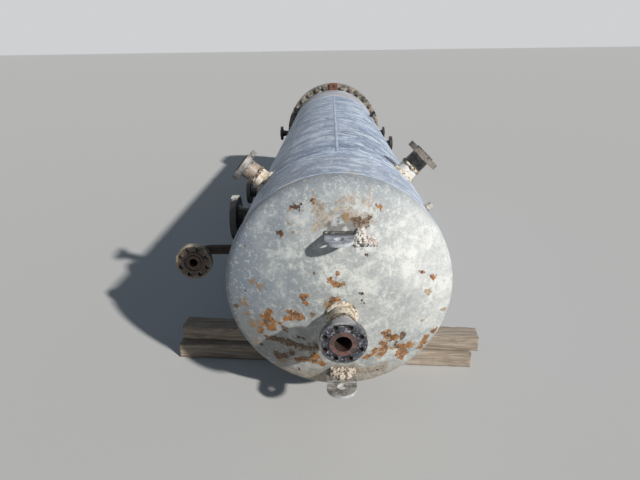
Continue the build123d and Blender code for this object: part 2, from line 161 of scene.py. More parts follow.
class Finish:
    """Node graph of one material, built up from a base colour by layers laid over it."""

    def __init__(self, name):
        self.material = bpy.data.materials.new(name)
        self.material.use_nodes = True
        self.tree = self.material.node_tree
        self.place = self.node("TexCoord", {}).outputs["Object"]
        self.colour = None

    def node(self, kind, inputs, **settings):
        return add_node(self.tree, kind, inputs, **settings)

    def vector(self, operation, first, second=(0, 0, 0), output=0):
        """Vector arithmetic; a distance, length or dot product is output 1."""
        key = 3 if operation == "SCALE" else 1
        return self.node("VectorMath", {0: first, key: second}, operation=operation).outputs[output]

    def stretched(self, stretch, place=None):
        """Place with each axis multiplied, to draw a pattern out."""
        return self.vector("MULTIPLY", place or self.place, stretch)

    def moved(self, x, y, z):
        return self.vector("ADD", self.place, (x, y, z))

    def noise(self, scale, detail=4.0, roughness=0.55, place=None, distortion=0.0, output="Fac"):
        inputs = {"Vector": place or self.place, "Scale": scale, "Detail": detail,
                  "Roughness": roughness, "Distortion": distortion}
        return self.node("TexNoise", inputs).outputs[output]

    def between(self, value, low, high):
        """Smooth step from 0 at low to 1 at high."""
        return self.node("MapRange", {0: value, 1: low, 2: high, 3: 0.0, 4: 1.0},
                         interpolation_type="SMOOTHSTEP", clamp=False).outputs[0]

    def math(self, operation, first, second=0.0):
        return self.node("Math", {0: first, 1: second}, operation=operation).outputs[0]

    def times(self, first, second):
        return self.math("MULTIPLY", first, second)

    def plus(self, first, second):
        return self.math("ADD", first, second)

    def more(self, first, second):
        return self.math("MAXIMUM", first, second)

    def swing(self, value, amount):
        """Noise about zero, times an amount."""
        return self.times(self.math("SUBTRACT", value, 0.5), amount)

    def axis_part(self, index):
        return self.node("SeparateXYZ", {0: self.place}).outputs[index]

    def mix(self, amount, first, second):
        inputs = {0: amount, 6: linear(first), 7: linear(second)}
        return self.node("Mix", inputs, data_type="RGBA").outputs[2]

    def blend(self, value, low, high, first, second):
        """One tone where a value is under low, the other where it is over high."""
        return self.mix(self.between(value, low, high), first, second)

    def base(self, first, second, clouds, low=0.40, high=0.60):
        """Start with two tones that change with noise, and give back the noise."""
        found = self.noise(*clouds)
        self.colour = self.blend(found, low, high, first, second)
        return found

    def lay(self, tone, mask, amount=1.0):
        """Lay a tone over the colour so far, as far as its mask reaches."""
        self.colour = self.mix(self.times(mask, amount), self.colour, tone)

    def wear(self, tone, value, low, high, amount=1.0):
        """Lay a tone where a value goes from low to high, and give back where it lies."""
        mask = self.between(value, low, high)
        self.lay(tone, mask, amount)
        return mask

    def patch(self, tone, clouds, offset, low, high, amount=1.0):
        """Lay a tone in clouds of its own, and give back where it lies."""
        return self.wear(tone, self.noise(*clouds, self.moved(*offset)), low, high, amount)

    def wobble(self, scale, amount):
        """Place pushed about by noise, so that the edge of a mark is uneven."""
        cloud = self.vector("SUBTRACT", self.noise(scale, 5.0, 0.65, output="Color"), (0.5, 0.5, 0.5))
        return self.vector("ADD", self.place, self.vector("SCALE", cloud, amount))

    def field(self, marks, place):
        """Round marks, each a place and a radius, as one soft field from 1 down to 0."""
        field = None
        for point, radius in marks:
            away = self.vector("DISTANCE", place, point, output=1)
            mark = self.between(away, radius * 1.75, radius * 0.25)
            field = mark if field is None else self.more(field, mark)
        return field

    def ragged(self, field, grain, spread, edge, softness):
        """Field of marks broken up by noise into patches with uneven edges."""
        broken = self.plus(field, self.swing(grain, spread))
        kept = self.between(broken, edge - softness, edge + softness)
        return self.times(kept, self.between(field, 0.02, 0.22))

    def finish(self, roughness, height, depth, strength, specular=0.5):
        """Join the graph to the shader; depth is the relief of the height in metres."""
        relief = self.node("Bump", {"Height": height, "Distance": depth, "Strength": strength})
        fill_inputs(self.tree, self.tree.nodes["Principled BSDF"], {
            "Base Color": self.colour, "Roughness": roughness, "Specular IOR Level": specular,
            "Normal": relief.outputs[0]})
        return self.material


# Colours as they show in the light, from 0 to 255
SHELL_DARK = (98, 114, 138)
SHELL_MIDDLE = (140, 156, 180)
SHELL_PALE = (206, 216, 229)
HUB_GREY = (150, 149, 153)
HUB_PALE = (176, 181, 191)
HUB_PINK_HIGHLIGHT = (190, 172, 166)
HEAD_DARK = (134, 139, 140)
HEAD_MIDDLE = (156, 159, 158)
HEAD_PALE = (192, 194, 190)
CHALK = (228, 226, 220)
CREAM = (208, 201, 186)
STEEL_DARK = (38, 40, 46)
STEEL_MIDDLE = (84, 86, 92)
STEEL_PALE = (166, 168, 172)
NEARLY_BLACK = (26, 28, 30)
GRIME = (62, 54, 46)
TAN = (150, 132, 106)
STAIN = (190, 168, 136)
OCHRE = (134, 100, 46)
RUST_DARK = (58, 34, 24)
RUST_BROWN = (72, 42, 14)
RUST_ORANGE = (150, 92, 0)
RUST_PINK = (106, 72, 66)
WEATHERED_WOOD = (154, 142, 127)
WOOD_DARK = (121, 109, 97)
WOOD_PALE = (180, 168, 153)

# Marks on the dished head: across, up from the vessel's axis, and radius, in millimetres
ORANGE_MARKS = [
    (-167, 25, 14), (-151, 25, 9), (-163, -4, 14), (-340, -87, 19), (-351, -115, 25), (-334, -121, 21),
    (-361, -141, 16), (-329, -161, 19), (-316, -150, 12), (-334, -70, 13), (-231, -61, 13),
    (-212, -75, 17), (-196, -82, 18), (-177, -85, 15), (-227, -93, 15), (-249, -93, 13),
    (-278, -129, 11), (-382, -185, 12), (-391, -206, 12), (-118, -319, 21), (-149, -348, 19),
    (-179, -348, 16), (-205, -359, 14), (-124, -356, 15), (-85, -368, 19), (-24, 12, 18), (-8, -1, 15),
    (-40, -11, 15), (230, -182, 18), (236, -208, 21), (266, -216, 18), (218, -247, 17), (223, -280, 24),
    (212, -313, 16), (176, -287, 18), (136, -328, 14), (160, -313, 9), (291, -279, 17), (317, -285, 24),
    (348, -286, 20), (314, -320, 27), (315, -361, 16), (432, -258, 14), (424, -283, 19),
    (414, -316, 16), (474, -225, 13), (-37, 110, 11), (-19, 99, 14), (6, 96, 14), (-5, 137, 10),
    (387, 120, 9), (443, 88, 12), (181, 429, 9), (161, 438, 7), (-116, 146, 6), (-219, 421, 8),
    (-175, 421, 7), (-107, 452, 8), (-259, 310, 7),
]
OCHRE_MARKS = [
    (-457, -47, 22), (-421, -157, 18), (-415, -174, 13), (-384, -152, 19), (-451, -105, 14),
    (-290, -122, 13), (-416, -276, 12), (-288, -376, 16), (-410, 75, 12), (-376, 58, 14), (-65, -2, 15),
    (424, 13, 15), (515, -103, 10), (402, -137, 11), (224, -160, 13), (255, -279, 15), (28, 401, 15),
    (39, 382, 15), (-226, 359, 8), (-212, 326, 8), (193, -328, 15),
]
BROWN_MARKS = [
    (-349, -231, 16), (-319, -228, 17), (-284, -234, 20), (-249, -241, 20), (-215, -252, 18),
    (-181, -261, 19), (-146, -263, 20), (-112, -260, 20), (-265, -162, 13), (-306, -339, 22),
    (-270, -338, 18), (-235, -313, 18), (252, -220, 17), (240, -196, 10), (313, -206, 15),
    (302, -229, 11), (279, -254, 9), (-499, -77, 12), (68, 377, 14), (95, 370, 15), (122, 373, 14),
    (140, 387, 10), (122, 347, 11), (-122, -65, 11), (-447, 14, 6), (-437, 234, 6), (-304, -350, 18),
]
DARK_MARKS = [
    (-212, 426, 11), (-195, 435, 13), (-182, 440, 10), (-123, 456, 9), (-277, 316, 7), (-266, 312, 9),
    (126, 218, 10), (-193, -201, 12), (-174, -205, 8), (100, 47, 7), (105, 9, 7), (113, -7, 7),
    (194, -437, 9), (-385, -284, 8), (-201, -430, 8),
]
TAN_MARKS = [
    (-98, 434, 28), (-120, 475, 17), (-98, 392, 28), (-71, 384, 26), (-112, 354, 20), (19, 467, 19),
    (46, 459, 20), (73, 466, 17), (127, 462, 20), (46, 413, 17), (54, 388, 22), (95, 382, 26),
    (136, 402, 17), (81, 353, 22), (113, 348, 22), (144, 368, 18), (5, 426, 19), (-40, 409, 17),
    (-15, -412, 31), (26, -428, 31), (66, -422, 31), (107, -433, 28), (148, -438, 29), (189, -436, 29),
    (229, -419, 23), (90, -391, 22),
]
DARK_PATCH_MARKS = [
    (-50, 345, 20), (-22, 350, 24), (10, 347, 22), (42, 350, 24), (75, 345, 22), (-60, 372, 14),
    (20, 376, 15), (120, 262, 12), (142, 285, 13),
]


def on_head(marks):
    """Marks as places in the plane across the vessel, with their radii, in metres."""
    return [((x / 1000, 0, AXIS_Z + height / 1000), radius / 1000) for x, height, radius in marks]


def pitted(graph, scale, most):
    """Small scattered pits of rust, on the few cells whose own value is high."""
    found = graph.node("TexVoronoi", {"Vector": graph.place, "Scale": scale})
    value = graph.node("SeparateColor", {0: found.outputs["Color"]}).outputs[0]
    near = graph.between(found.outputs["Distance"], 0.20, 0.10)
    return graph.times(near, graph.between(value, most, most + 0.02))


def coating(name, dark, middle, pale, stretch):
    """Weathered paint: cloudy tones, chalky patches, smears, flecks and fine speckle."""
    graph = Finish(name)
    drawn = graph.stretched(stretch)
    graph.base(dark, middle, (3, 6, 0.66, drawn), 0.42, 0.58)
    patches = graph.noise(8, 8, 0.74, drawn, 0.5)
    smears = graph.noise(24, 7, 0.78, graph.stretched((1, 0.45, 1)), 0.5)
    speckle = graph.noise(85, 4, 0.75)
    graph.wear(pale, patches, 0.47, 0.60, 0.85)
    graph.wear(pale, smears, 0.53, 0.62, 0.6)
    graph.wear(dark, smears, 0.47, 0.38, 0.55)
    graph.wear(dark, speckle, 0.52, 0.66, 0.4)
    graph.wear(pale, speckle, 0.46, 0.34, 0.4)
    return graph, graph.plus(graph.times(speckle, 0.35), graph.times(patches, 0.5)), speckle


def neck_places():
    """Places on the shell where the shoulder necks stand, with the reach of their overspray."""
    places = []
    for name in SHOULDERS:
        mount = mounts[name]
        out = Vector(mount["axis"]).normalized()
        foot = on_axis(mount["pos_m"][1]) + out * SHELL_R
        places.append((tuple(foot), 0.085))
    return places


def shell_finish():
    """Bluish grey coating of the shell, with overspray by the necks, stains and rust pits."""
    graph, height, speckle = coating("vessel_coating_shell", SHELL_DARK, SHELL_MIDDLE, SHELL_PALE,
                                     (0.75, 1.2, 0.75))
    graph.wear(HUB_PALE, graph.axis_part(1), COURSE_SEAM_Y + 0.10, COURSE_SEAM_Y - 0.25, 0.25)
    spray = graph.field(neck_places(), graph.wobble(9, 0.07))
    graph.lay(CHALK, graph.ragged(spray, graph.noise(30, 6, 0.72), 3, 0.5, 0.09), 0.75)
    graph.patch(STAIN, (3.2, 5, 0.6), (4, 1, 2), 0.60, 0.74, 0.35)
    # Darker grey-brown towards the bottom of the shell
    graph.wear(GRIME, graph.axis_part(2), AXIS_Z - 0.30 * SHELL_R, AXIS_Z - 0.95 * SHELL_R, 0.35)
    graph.lay(RUST_BROWN, pitted(graph, 9, 0.975), 0.8)
    return graph.finish(graph.plus(0.44, graph.times(speckle, 0.16)), height, 0.0012, 0.6)


def shade_head(graph):
    """Painted shade as bluer grey on the head's left, bluer grey on its top near the knuckle, a painted
    highlight as whiter paint on its upper right, and a brown veil low on the left.
    """
    drift = graph.swing(graph.noise(4, 5, 0.65), 0.5)
    across = graph.plus(graph.axis_part(0), drift)
    up = graph.plus(graph.axis_part(2), drift)
    top = graph.times(graph.between(up, AXIS_Z + 0.26, AXIS_Z + 0.54), 0.6)
    # Bluer grey: painted shade on the left side, the knuckle's bluer paint on the top
    graph.lay((92, 106, 122), graph.more(graph.between(across, -0.04, -0.48), top), 0.8)
    # Painted highlight: whiter paint on the upper right, where the sun's broad highlight falls
    painted_highlight = graph.times(graph.between(across, 0.10, 0.46),
                         graph.between(up, AXIS_Z - 0.40, AXIS_Z + 0.10))
    graph.lay((222, 224, 224), painted_highlight, 0.28)
    veil = graph.times(graph.between(across, 0.10, -0.30),
                       graph.between(up, AXIS_Z + 0.05, AXIS_Z - 0.30))
    graph.lay((120, 112, 96), veil, 0.45)
    flakes = graph.noise(42, 6, 0.8, graph.moved(5, 5, 5))
    graph.wear(HEAD_PALE, flakes, 0.53, 0.61, 0.55)
    graph.wear(HEAD_DARK, flakes, 0.47, 0.39, 0.45)


def soil_head(graph, grain, cloud):
    """Tan stains over the top lug, dark grey patches round it and dirt along the bottom."""
    wide = graph.stretched((1, 0, 1), graph.wobble(12, 0.15))
    tone = graph.blend(grain, 0.42, 0.58, (98, 86, 72), (158, 142, 120))
    tan = graph.field(on_head(TAN_MARKS), wide)
    graph.lay(tone, graph.ragged(tan, cloud, 2.6, 0.50, 0.45), 0.7)
    # Dark grey patches round the top lug
    dark_patch = graph.field(on_head(DARK_PATCH_MARKS), wide)
    graph.lay((62, 56, 52), graph.ragged(dark_patch, cloud, 2.6, 0.5, 0.40), 0.75)
    bottom = graph.plus(graph.axis_part(2), graph.times(cloud, 0.25))
    graph.wear(tone, bottom, AXIS_Z - 0.24, AXIS_Z - 0.38, 0.7)


def rust_head(graph, grain, cloud):
    """Ochre, orange, brown and dark rust where the photo has it, with a stained surround."""
    fine = graph.stretched((1, 0, 1), graph.wobble(34, 0.07))
    orange, brown, ochre, dark = (graph.field(on_head(marks), fine) for marks in
                                  (ORANGE_MARKS, BROWN_MARKS, OCHRE_MARKS, DARK_MARKS))
    halo = graph.ragged(graph.more(orange, brown), cloud, 2.2, 0.35, 0.35)
    graph.lay((150, 134, 104), halo, 0.5)
    flecks = graph.plus(0.35, graph.between(graph.noise(130, 4, 0.7), 0.36, 0.52))
    ochre = graph.ragged(ochre, grain, 4.5, 0.50, 0.40)
    orange = graph.times(graph.ragged(orange, grain, 4, 0.40, 0.30), flecks)
    brown = graph.times(graph.ragged(brown, grain, 4, 0.45, 0.30), flecks)
    dark = graph.ragged(dark, grain, 2, 0.5, 0.2)
    mottled = graph.blend(graph.noise(46, 5, 0.75), 0.42, 0.56, RUST_BROWN, RUST_ORANGE)
    graph.lay(OCHRE, ochre, 0.75)
    graph.lay(mottled, graph.math("MINIMUM", orange, 0.95))
    graph.lay(RUST_BROWN, graph.math("MINIMUM", brown, 0.90))
    graph.lay(RUST_DARK, dark)
    graph.lay(RUST_BROWN, pitted(graph, 16, 0.985), 0.7)
    return graph.more(graph.more(orange, brown), graph.more(dark, ochre))


def head_finish():
    """Whitish coating of the head, with the dirt and rust marks of the photo."""
    graph, height, speckle = coating("vessel_coating_head", HEAD_DARK, HEAD_MIDDLE, HEAD_PALE,
                                     (1, 1, 1))
    shade_head(graph)
    grain = graph.noise(60, 6, 0.78)
    cloud = graph.noise(22, 5, 0.7, graph.moved(3, 3, 3))
    soil_head(graph, grain, cloud)
    rust = rust_head(graph, grain, cloud)
    height = graph.plus(height, graph.times(graph.times(rust, grain), 1.6))
    roughness = graph.plus(0.42, graph.times(graph.more(rust, speckle), 0.42))
    return graph.finish(roughness, height, 0.0014, 0.6, 0.85)


def hub_finish():
    """Smooth grey paint of the last course, paler pink beside its seam: a pink tint and a painted
    highlight.
    """
    graph = Finish("vessel_coating_far_course")
    graph.base(HUB_GREY, HUB_PALE, (5, 5, 0.62))
    # Pink tint and painted highlight along the far seam
    graph.wear(HUB_PINK_HIGHLIGHT, graph.axis_part(1), FAR_SEAM_Y + 0.16, FAR_SEAM_Y + 0.02, 0.6)
    speckle = graph.noise(70, 4, 0.7)
    graph.wear(STEEL_MIDDLE, speckle, 0.52, 0.70, 0.2)
    return graph.finish(0.5, speckle, 0.0006, 0.5)


def bead_finish():
    """Coated weld metal in the tones of the shell, stained a little in its ripples."""
    graph = Finish("weld_bead_coated")
    graph.base(SHELL_MIDDLE, (178, 189, 205), (10, 6, 0.7))
    graph.patch(STAIN, (6, 6, 0.7), (3, 0, 5), 0.54, 0.66, 0.6)
    graph.patch(STEEL_MIDDLE, (8, 6, 0.7), (7, 2, 1), 0.56, 0.68, 0.6)
    return graph.finish(0.55, graph.noise(160, 3, 0.6), 0.0006, 0.5)


def root_weld_finish(name, first, second, paint_from, paint):
    """Rough weld in two dirty tones with remains of paint."""
    graph = Finish(name)
    graph.base(first, second, (26, 5, 0.7), 0.40, 0.58)
    graph.patch(paint, (40, 5, 0.7), (1, 6, 2), paint_from, paint_from + 0.10, 0.9)
    return graph.finish(0.7, graph.noise(240, 3, 0.6), 0.0010, 0.7)


def mottled_steel(graph, tones, amount_rust):
    """Three tones of worn steel in fine mottles, with grime and brown rust."""
    dark, middle, pale = tones
    graph.base(dark, middle, (26, 6, 0.74), 0.42, 0.56)
    flecks = graph.noise(72, 6, 0.76, None, 0.5)
    graph.wear(pale, flecks, 0.53, 0.62, 0.85)
    tone = graph.blend(graph.noise(34, 4), 0.42, 0.60, RUST_BROWN, OCHRE)
    rust = graph.patch(tone, (14, 6, 0.7), (5, 2, 8), 0.68 - 0.18 * amount_rust,
                       0.76 - 0.12 * amount_rust, 0.75)
    relief = graph.plus(graph.noise(120, 4, 0.7), graph.times(flecks, 0.5))
    return graph.plus(relief, graph.times(rust, 0.4)), rust


def plain_steel_finish(name, tones, amount_rust):
    graph = Finish(name)
    height, rust = mottled_steel(graph, tones, amount_rust)
    return graph.finish(graph.plus(0.46, graph.times(rust, 0.3)), height, 0.0009, 0.7)


def flange_places(graph, mount):
    """Height over a flange's mount, place aside from its axis and distance from it."""
    axis = Vector(mount["axis"])
    from_face = graph.vector("SUBTRACT", graph.place, Vector(mount["pos_m"]))
    height = graph.vector("DOT_PRODUCT", from_face, axis, output=1)
    aside = graph.vector("SUBTRACT", from_face, graph.vector("SCALE", axis, height))
    return height, aside, graph.vector("LENGTH", aside, output=1)


def bore_wall(graph, away, radius):
    return graph.between(away, radius + 0.0012, radius + 0.0002)


def bolt_holes(graph, mount, aside):
    """Walls of a flange's bolt holes, from the places that its mount states."""
    axis = Vector(mount["axis"])
    side = axis.cross(UP).normalized()
    other = side.cross(axis)
    dims = mount["dims"]
    nearest = None
    for index in range(dims["count"]):
        turn = pi * (2 * index + 1) / dims["count"]
        place = (side * cos(turn) + other * sin(turn)) * (dims["pcd_mm"] / 2000)
        away = graph.vector("DISTANCE", aside, place, output=1)
        nearest = away if nearest is None else graph.math("MINIMUM", nearest, away)
    return bore_wall(graph, nearest, dims["hole_r_mm"] / 1000)


def rim_wear_and_light(graph, mount, rim_radius, radius, height_out, cloud, tones):
    """Rim, hub and topmost edge of a flange in tones of their own, worn through in places; the topmost
    edge is painted light, and the hub's tone is a painted shadow on the right shoulder.
    """
    rim_tone, hub_tone_and_shadow, top_light_tone = tones
    worn = graph.plus(radius, graph.swing(cloud, 0.02))
    rim = graph.between(worn, rim_radius - 0.014, rim_radius - 0.006)
    above = graph.math("SUBTRACT", graph.axis_part(2), mount["pos_m"][2])
    above = graph.plus(above, graph.times(cloud, 0.04))
    # Painted light on the rim's topmost edge: paler as a painted highlight on most flanges, darker on
    # the shoulder flanges
    top = graph.between(above, rim_radius + 0.006, rim_radius + 0.014)
    kept = graph.between(graph.noise(24, 6, 0.74, graph.moved(2, 6, 4)), 0.40, 0.56)
    graph.lay(rim_tone, rim, graph.times(kept, 0.65))
    graph.lay(top_light_tone, rim, graph.times(top, 0.9))
    # Hub tone: paint, and on the right shoulder a painted shadow of the flange
    graph.wear(hub_tone_and_shadow, height_out, -0.046, -0.052, graph.plus(0.2, graph.times(kept, 0.55)))


def flange_finish(name, mount, sizes, tones, face_tones, outer_tones, amount_rust):
    """Mottled flange with a rusted and finely grooved raised face, and its bore and bolt holes painted
    near black as the shade inside them.
    """
    graph = Finish(name)
    face_radius, bore_radius, rim_radius = sizes
    height, rust = mottled_steel(graph, tones, amount_rust)
    height_out, aside, radius = flange_places(graph, mount)
    cloud = graph.noise(34, 6, 0.7)
    rim_wear_and_light(graph, mount, rim_radius, radius, height_out, cloud, outer_tones)
    on_face = graph.times(graph.between(height_out, 0.4 * FACE_HEIGHT, 0.6 * FACE_HEIGHT),
                          graph.between(radius, face_radius + 0.001, face_radius - 0.001))
    graph.lay(graph.blend(cloud, 0.42, 0.58, *face_tones), on_face, 0.92)
    # Painted shade: bore and bolt-hole walls near black, with dark rust
    shaded_bores = graph.more(bore_wall(graph, radius, bore_radius), bolt_holes(graph, mount, aside))
    graph.lay(graph.blend(cloud, 0.4, 0.6, NEARLY_BLACK, RUST_DARK), shaded_bores)
    grooves = graph.math("SINE", graph.times(radius, 2 * pi / 0.0016))
    height = graph.plus(height, graph.times(graph.times(grooves, on_face), 0.15))
    rings = graph.between(graph.math("SINE", graph.times(radius, 2 * pi / 0.0105)), 0.55, 0.95)
    graph.lay(GRIME, graph.times(rings, on_face), 0.45)
    roughness = graph.plus(0.48, graph.times(graph.more(graph.more(rust, on_face), shaded_bores), 0.25))
    return graph.finish(roughness, height, 0.0009, 0.7)


def neck_finish(name, paint, second, dirt_from, rust_from):
    """Paint on a nozzle neck, dirty and rusting in patches."""
    graph = Finish(name)
    graph.base(second, paint, (20, 6, 0.7))
    graph.patch(GRIME, (34, 6, 0.72), (2, 3, 9), dirt_from, dirt_from + 0.09, 0.75)
    graph.patch(OCHRE, (18, 5, 0.7), (8, 1, 4), rust_from, rust_from + 0.09, 0.7)
    return graph.finish(0.6, graph.noise(150, 4, 0.7), 0.0008, 0.7)


def rust_finish(name, light, dark):
    """Rusted plate in two tones, with darker scabs."""
    graph = Finish(name)
    graph.base(dark, light, (18, 6, 0.7), 0.38, 0.62)
    graph.wear(RUST_DARK, graph.noise(60, 5, 0.7), 0.54, 0.64, 0.6)
    return graph.finish(0.8, graph.noise(130, 4, 0.7), 0.0012, 0.8)


def forging_finish():
    """Closure forging: smooth grey paint on the hub and mottled, dirty flange rims."""
    graph = Finish("closure_forging_paint")
    painted = graph.blend(graph.noise(4, 5, 0.6), 0.4, 0.6, HUB_GREY, HUB_PALE)
    worn = graph.base((60, 55, 49), (146, 139, 128), (26, 6, 0.76), 0.43, 0.57)
    graph.patch(RUST_BROWN, (12, 5, 0.7), (3, 9, 1), 0.58, 0.68, 0.7)
    graph.colour = graph.blend(graph.axis_part(1), CLOSURE_NEAR_Y - 0.004, CLOSURE_NEAR_Y - 0.001,
                               painted, graph.colour)
    return graph.finish(0.55, graph.plus(worn, graph.noise(140, 3)), 0.0008, 0.6)


def bolting_finish():
    """Dull studs and nuts, each with its own tone from grey to rust brown."""
    graph = Finish("closure_bolting_worn")
    graph.base((60, 56, 51), (146, 140, 131), (48, 5, 0.7))
    each = graph.noise(5.5, 1, 0.5, graph.moved(7, 2, 3))
    graph.wear(RUST_BROWN, each, 0.51, 0.60, 0.7)
    graph.wear(STEEL_DARK, each, 0.42, 0.34, 0.6)
    return graph.finish(0.6, graph.noise(200, 3), 0.0006, 0.6)


def gasket_finish():
    graph = Finish("gasket_ring_dark")
    graph.base((30, 30, 31), (58, 54, 50), (40,))
    return graph.finish(0.8, graph.noise(200), 0.0004, 0.5)


def lug_finish(name, first, second, root_tone, high):
    """Paint on a cut plate, in a tone of its own towards its root, worn pale in streaks, and paler on
    its edges below the top face as a painted highlight.
    """
    graph = Finish(name)
    clouds = graph.base(first, second, (24, 6, 0.74))
    graph.wear(CHALK, graph.noise(30, 6, 0.74, graph.stretched((0.5, 2.2, 1))), 0.53, 0.62, 0.55)
    reach = graph.plus(graph.axis_part(1), graph.swing(clouds, 0.07))
    # Tone of its own towards the root: darker on the top lug, paler on the bottom lug
    graph.wear(root_tone, reach, high[1] - 0.052, high[1] - 0.026, 0.85)
    # Painted highlight: paler paint on the edges and underside, everywhere below the top face
    graph.wear((182, 186, 190), graph.axis_part(2), high[2] - 0.0008, high[2] - 0.0024, 0.6)
    fine = graph.noise(110, 4, 0.72)
    graph.wear(GRIME, fine, 0.54, 0.64, 0.45)
    return graph.finish(0.5, fine, 0.0010, 0.7)


def crust_finish(name, shade, pale):
    """Whitish lumps with a pink blush and brown-grey patches painted as the shade in the hollows."""
    graph = Finish(name)
    graph.base(shade, pale, (95, 5, 0.72), 0.38, 0.54)
    graph.patch((180, 156, 152), (30, 4, 0.6), (6, 2, 1), 0.52, 0.64, 0.45)
    # Painted shade: brown-grey patches standing in for the shade between the lumps
    graph.patch((124, 114, 106), (52, 5, 0.72), (1, 4, 2), 0.51, 0.59, 0.7)
    return graph.finish(0.85, graph.noise(260, 4, 0.7), 0.0015, 0.9)


def timber_finish():
    """Weathered sawn timber: fine grain along its length, a few splits and paler wear."""
    graph = Finish("bearer_timber_weathered")
    drawn = graph.stretched((1.6, 30, 30))
    grain = graph.base(WOOD_DARK, WEATHERED_WOOD, (2.6, 8, 0.74, drawn, 0.3), 0.42, 0.58)
    graph.wear(WOOD_PALE, graph.noise(0.9, 4, 0.6, drawn), 0.48, 0.66, 0.5)
    graph.wear((132, 114, 98), graph.noise(5, 6, 0.7), 0.52, 0.66, 0.5)
    splits = graph.wear((66, 57, 49), graph.noise(3.4, 4, 0.6, graph.stretched((0.9, 30, 30))),
                        0.67, 0.71, 0.7)
    return graph.finish(0.88, graph.plus(grain, graph.times(splits, -1)), 0.0020, 0.7)


# Weld beads: half width, half height and length of a ripple
GIRTH_BEAD = (0.0110, 0.0030, 0.0075)
LONG_BEAD = (0.0095, 0.0030, 0.0075)
ROUGH_ROOT = (0.0165, 0.0165, 0.006)
SHOULDER_JOINT = (0.0110, 0.0065, 0.006)
NARROW_JOINT = (0.006, 0.0028, 0.006)
ELBOW_ROOT = (0.008, 0.008, 0.006)
FITTING_ROOT = (0.006, 0.006, 0.005)
NECK_RIPPLE = 0.006
LUG_FILLET = (0.009, 0.009, 0.006)
BEAD_SIDES = 10
BEAD_STEP = 0.0022
ROOT_STEP = 0.0025
FITTING_STEP = 0.002
BEAD_SUNK = 0.0006
JOINT_SUNK = 0.0008

# Crusts
CRUST_LUMPS = 420
CRUST_VOXEL = 0.0017
LUMP_STRAY = 0.003
LEAST_LUMP_R = 0.0022
LUMP_R_SPREAD = 0.0062

# Timber bearers
UPPER_LENGTH = 1.846
LOWER_LENGTH = 1.820
BEARER_DEPTH = 0.135
BEARER_HEIGHT = 0.100
UPPER_YAW = -4.7
LOWER_YAW = -3.6
BED_CLEARANCE = 0.0006
SEAM_CLEARANCE = 0.0048
SEAM_HALF_WIDTH = 0.013
SECTION_POINTS = 132
EDGE_POWER = 14
TIMBER_STATIONS = 150
TIMBER_SPLITS = 7
END_DEPTH = 0.006
END_RINGS = (0.985, 0.9, 0.75, 0.58, 0.4, 0.22, 0.08)


def new_object(name, data):
    made = bpy.data.objects.new(name, data)
    scene.collection.objects.link(made)
    return made


def dress(material, *nodes):
    """Give nodes of the frame their finish, with their meshes as they are."""
    for node in nodes:
        materials = frame["nodes"][node].data.materials
        materials.clear()
        materials.append(material)


def set_piece(piece, look, slot, *replaced):
    """Smooth a piece, give it its finish, and let it ride on the root body; the slot is not used."""
    piece.data.shade_smooth()
    piece.data.materials.clear()
    piece.data.materials.append(FINISHES[look])
    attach(piece, "root")
    if replaced:
        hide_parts(*replaced)


def make_piece(name, points, faces, look, slot, *replaced):
    mesh = bpy.data.meshes.new(name)
    mesh.from_pydata(points, [], faces)
    mesh.validate()
    piece = new_object(name, mesh)
    set_piece(piece, look, slot, *replaced)
    return piece


def tube_faces(rings, sides, closed=False):
    """Faces between rings of points, joined round to the first ring or with both ends filled."""
    faces = []
    for ring in range(rings if closed else rings - 1):
        here = ring * sides
        there = (ring + 1) % rings * sides
        for side in range(sides):
            other = (side + 1) % sides
            faces.append((here + side, here + other, there + other, there + side))
    if not closed:
        faces.append(tuple(reversed(range(sides))))
        faces.append(tuple(range((rings - 1) * sides, rings * sides)))
    return faces


def piled(shapes):
    """Points and faces of many closed shapes, gathered for one mesh."""
    all_points = []
    all_faces = []
    for points, faces in shapes:
        start = len(all_points)
        all_points += points
        all_faces += [tuple(start + corner for corner in face) for face in faces]
    return all_points, all_faces


def bead_shape(path, outward, sizes, seed, closed=True, unevenness=0.15):
    """Weld bead with curved ripples, half sunk in the surface that its path lies on."""
    half_width, half_height, pitch = sizes
    count = len(path)
    length = (path[1] - path[0]).length * count
    ripples = max(1, round(length / pitch))
    points = []
    for index, (place, out) in enumerate(zip(path, outward)):
        before = path[index - 1] if closed or index > 0 else place
        after = path[(index + 1) % count] if closed or index < count - 1 else place
        across = (after - before).normalized().cross(out).normalized()
        travelled = index / count
        sway = noise.noise(Vector((seed, 9.0 * sin(2 * pi * travelled) + length,
                                   9.0 * cos(2 * pi * travelled))))
        swell = 1 + unevenness * noise.noise(place * 55 + Vector((seed, 0, 0)))
        for side in range(BEAD_SIDES):
            turn = 2 * pi * side / BEAD_SIDES
            phase = travelled * ripples + 0.35 * cos(turn) ** 2
            ripple = 1 + 0.16 * (0.5 - (phase - floor(phase)))
            points.append(place + across * (half_width * (cos(turn) * swell + 0.12 * sway))
                          + out * (half_height * sin(turn) * swell * ripple))
    return points, tube_faces(count, BEAD_SIDES, closed)


def bead_piece(name, line, sizes, seed, look, slot, *replaced, **shape):
    """Weld bead along a line of places and outward directions."""
    make_piece(name, *bead_shape(*line, sizes, seed, **shape), look, slot, *replaced)


def ring_line(centre, direction, radius, step):
    """Points round a circle, with the directions that point away from its centre."""
    side = direction.orthogonal().normalized()
    other = direction.cross(side)
    count = max(24, round(2 * pi * radius / step))
    outward = [side * cos(2 * pi * index / count) + other * sin(2 * pi * index / count)
               for index in range(count)]
    return [centre + out * radius for out in outward], outward


def spaced(low, high, count):
    """Even steps from one value to another."""
    return [low + (high - low) * index / (count - 1) for index in range(count)]


def head_surface(x, z):
    """Place on the outside of the crown of the head."""
    return Vector((x, CROWN_CENTRE_Y - sqrt(CROWN_R ** 2 - x * x - (z - AXIS_Z) ** 2), z))


def head_normal(place):
    return (place - CROWN_CENTRE).normalized()


